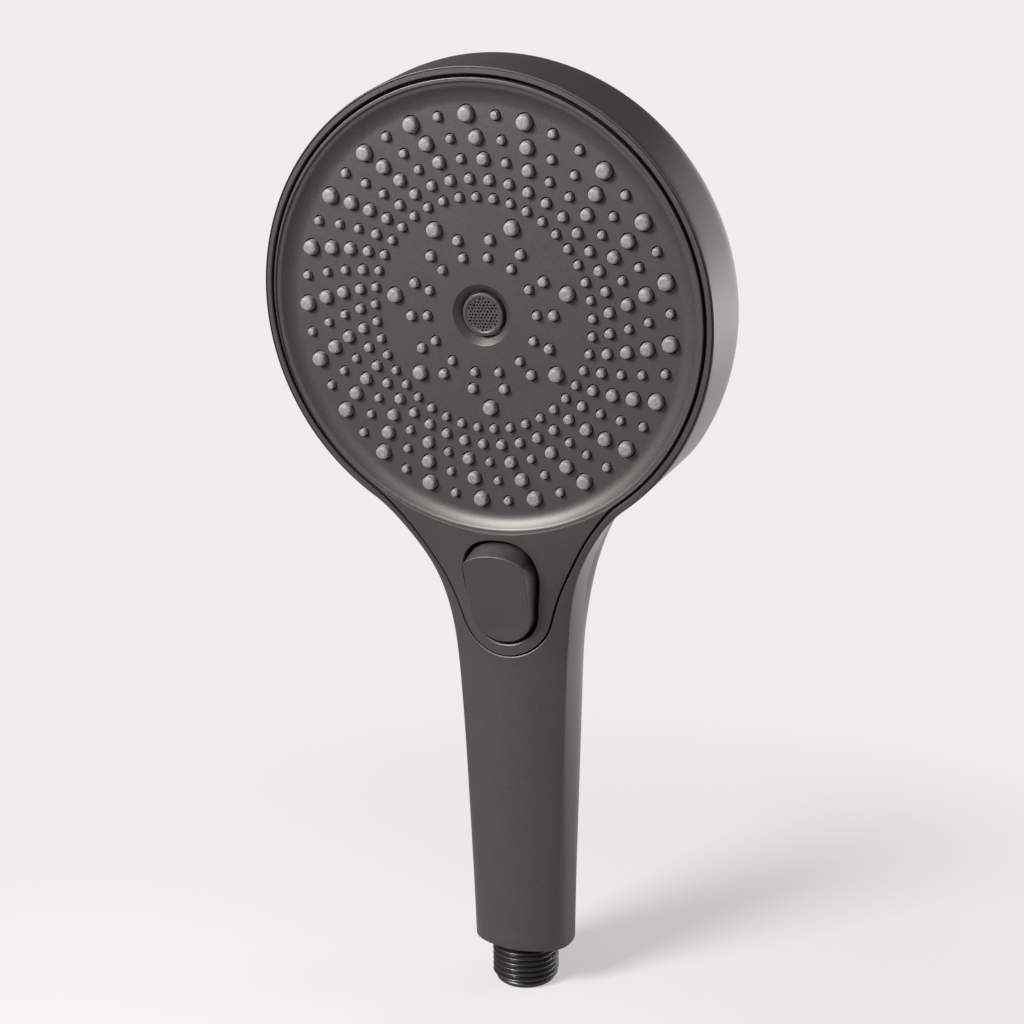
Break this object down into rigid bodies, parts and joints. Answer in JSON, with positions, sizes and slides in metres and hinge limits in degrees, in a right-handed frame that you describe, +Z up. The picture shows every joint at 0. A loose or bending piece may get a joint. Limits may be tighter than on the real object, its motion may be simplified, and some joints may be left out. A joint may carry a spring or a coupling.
{
  "type": "handheld shower head",
  "caption": "Handheld shower head: round recessed spray face with soft nozzles, press button in the neck, round tapered handle and threaded hose inlet.",
  "frame": {"origin": "centre of the inlet thread's end face", "axes": "+Z up along the handle's axis to the head; the spray face looks towards -Y, leaning down by 9.1 degrees; +X across the head"},
  "size_m": [0.137, 0.0586, 0.2819],
  "materials": {
    "shell": "matte charcoal with a fine metallic grain",
    "front_plate": "matte charcoal",
    "button": "matte charcoal",
    "silicone": "soft matte silicone",
    "mesh_insert": "satin black",
    "inlet": "glossy black",
    "steel": "plain stainless",
    "white_plastic": "natural acetal",
    "black_plastic": "moulded black",
    "blue_plastic": "moulded blue",
    "rubber": "black sealing rubber"
  },
  "bodies": {
    "handset": {"rear_shell": "shell", "front_plate": "front_plate", "nozzle_mat": "silicone", "mist_insert": "mesh_insert", "face_screw": "steel", "water_plate": "white_plastic", "plate_seal": "rubber", "manifold": "white_plastic", "manifold_screw_1": "steel", "manifold_screw_2": "steel", "manifold_screw_3": "steel", "manifold_screw_4": "steel", "button_pin": "steel", "button_bracket": "black_plastic", "bracket_screw_1": "steel", "bracket_screw_2": "steel", "slide_spring": "steel", "water_tube": "white_plastic", "tube_seal_upper": "rubber", "tube_seal_lower": "rubber", "inlet_nipple": "inlet", "nipple_seal": "rubber", "nipple_clip": "steel", "inlet_filter": "steel", "flow_limiter": "blue_plastic", "valve_seat": "white_plastic", "valve_spring": "steel", "valve_cage": "white_plastic"},
    "button": {"button": "button"},
    "slide": {"selector_slide": "white_plastic", "pawl": "steel"},
    "selector": {"selector_disc": "white_plastic", "ratchet_wheel": "blue_plastic", "selector_shaft": "steel", "shaft_clip": "steel"},
    "poppet": {"valve_poppet": "blue_plastic"}
  },
  "joints": [
    {"name": "button_press", "type": "hinge", "parent": "handset", "child": "button", "pos_m": [0, -0.00896, 0.11799], "axis": [1, 0, 0], "range_deg": [-6, 0], "stiffness_Nm_per_rad": 1.5, "springref_deg": 2.86},
    {"name": "slide_stroke", "type": "slide", "parent": "handset", "child": "slide", "axis": [0, 0, 1], "range_m": [-0.0028, 0], "deforming": ["slide_spring"]},
    {"name": "selector_turn", "type": "hinge", "parent": "handset", "child": "selector", "pos_m": [0, -0.00522, 0.17683], "axis": [0, 0.9874, 0.1582], "continuous": true},
    {"name": "check_valve_lift", "type": "slide", "parent": "handset", "child": "poppet", "axis": [0, 0, 1], "range_m": [0, 0.0025], "stiffness_N_per_m": 200, "springref_m": -0.002, "deforming": ["valve_spring"]}
  ],
  "couplings": [
    {"joint": "slide_stroke", "follows": "button_press", "m_per_rad": 0.025}
  ]
}
